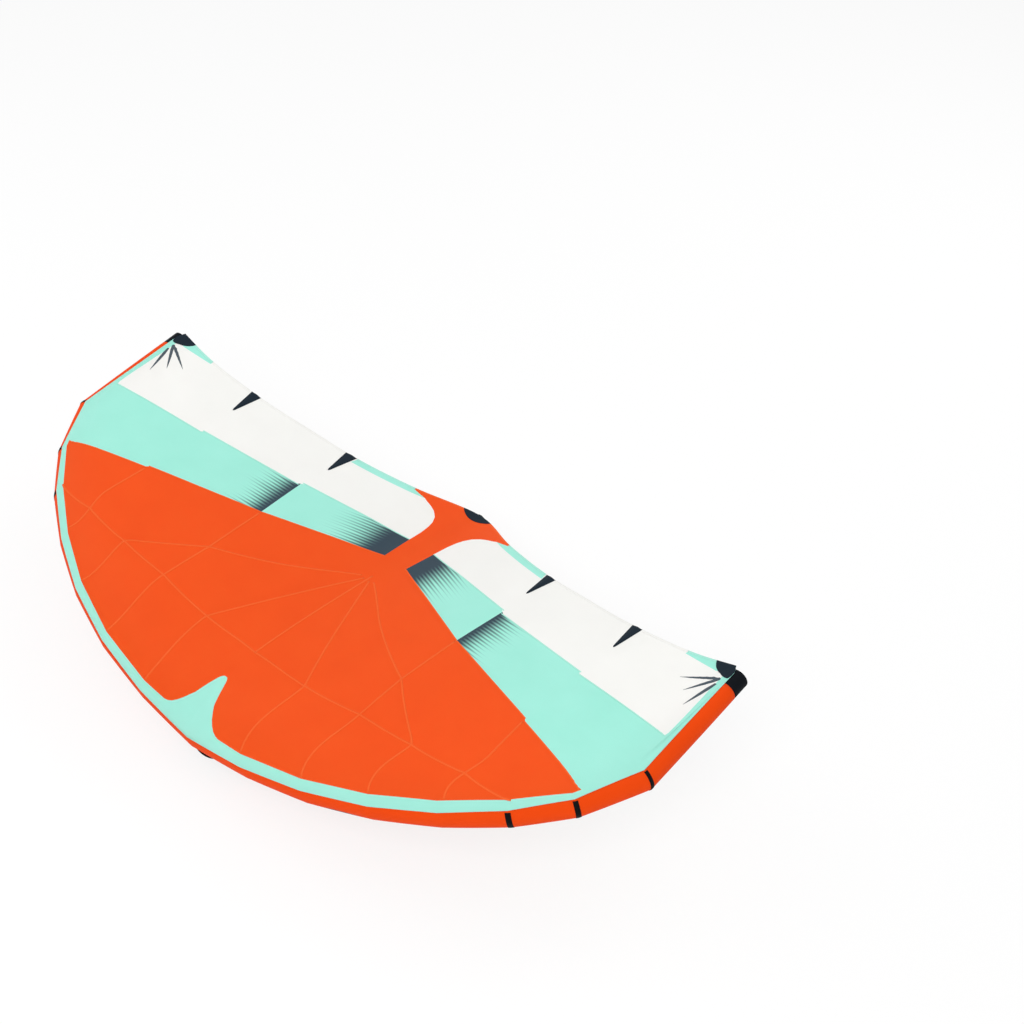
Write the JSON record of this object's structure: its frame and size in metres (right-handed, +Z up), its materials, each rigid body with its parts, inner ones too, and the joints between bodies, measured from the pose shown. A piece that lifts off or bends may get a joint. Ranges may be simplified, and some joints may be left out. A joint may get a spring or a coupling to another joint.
{
  "type": "wingfoil wing",
  "caption": "Handheld inflatable wing with a curved leading-edge tube, a centre strut, a sewn panelled canopy and swinging soft handles.",
  "frame": {"origin": "middle of the underside of the wing's bounding box, under the lowest handle", "axes": "-Y towards the nose, +Z up, +X towards the right tip as seen by someone who faces the nose"},
  "size_m": [3.393, 1.8222, 0.6467],
  "materials": {
    "tube": "woven polyester",
    "cloth_orange": "ripstop cloth",
    "cloth_mint": "ripstop cloth",
    "cloth_white": "ripstop cloth",
    "patch": "woven reinforcement",
    "webbing": "webbing and padded cloth",
    "bladder": "clear film",
    "plastic": "moulded",
    "batten": "pultruded strip"
  },
  "bodies": {
    "wing": {"le_casing_left": "tube", "le_casing_right": "tube", "le_bladder": "bladder", "le_tip_cap_left": "webbing", "le_tip_cap_right": "webbing", "le_band_5_left": "webbing", "le_band_5_right": "webbing", "le_band_6_left": "webbing", "le_band_6_right": "webbing", "le_band_7_left": "webbing", "le_band_7_right": "webbing", "strut_casing": "tube", "strut_bladder": "bladder", "strut_end_cap": "webbing", "strut_web": "cloth_orange", "strut_band_1": "webbing", "strut_band_2": "webbing", "strut_band_3": "webbing", "strut_band_4": "webbing", "handle_keeper_1": "webbing", "handle_keeper_2": "webbing", "handle_keeper_3": "webbing", "handle_keeper_4": "webbing", "nose_pad": "plastic", "nose_tab_left": "webbing", "nose_tab_right": "webbing", "nose_keeper_left": "webbing", "nose_keeper_right": "webbing", "canopy_edge_left": "cloth_mint", "canopy_edge_right": "cloth_mint", "canopy_front_left": "cloth_orange", "canopy_front_right": "cloth_orange", "canopy_middle_left": "cloth_mint", "canopy_middle_right": "cloth_mint", "canopy_rear_left": "cloth_white", "canopy_rear_right": "cloth_white", "trailing_hem_left": "cloth_white", "trailing_hem_right": "cloth_white", "tip_patch_left": "patch", "tip_patch_right": "patch", "canopy_tail": "cloth_orange", "tail_patch": "patch", "batten_inner_left": "batten", "batten_inner_right": "batten", "batten_pocket_inner_left": "patch", "batten_pocket_inner_right": "patch", "batten_outer_left": "batten", "batten_outer_right": "batten", "batten_pocket_outer_left": "patch", "batten_pocket_outer_right": "patch", "valve_body": "plastic", "valve_cap_pin": "plastic", "hose_port_nose": "plastic", "hose_port_strut": "plastic", "pump_hose": "plastic"},
    "front_handle": {"front_handle": "webbing"},
    "rear_handle": {"rear_handle": "webbing"},
    "nose_handle": {"nose_handle": "webbing"},
    "valve_cap": {"valve_cap": "plastic"}
  },
  "joints": [
    {"name": "front_handle_swing", "type": "hinge", "parent": "wing", "child": "front_handle", "pos_m": [0, -0.47479, 0.05307], "axis": [0, 0.9991, 0.0425], "range_deg": [-65, 65]},
    {"name": "rear_handle_swing", "type": "hinge", "parent": "wing", "child": "rear_handle", "pos_m": [0, 0.17536, 0.12487], "axis": [0, 0.9947, 0.1032], "range_deg": [-75, 75]},
    {"name": "nose_handle_swing", "type": "hinge", "parent": "wing", "child": "nose_handle", "pos_m": [0, -0.81022, 0.09156], "axis": [1, 0, 0], "range_deg": [-35, 70]},
    {"name": "valve_cap_hinge", "type": "hinge", "parent": "wing", "child": "valve_cap", "pos_m": [0.2375, -0.64537, 0.18846], "axis": [-0.14, 0.3667, 0.9197], "range_deg": [0, 110]}
  ]
}
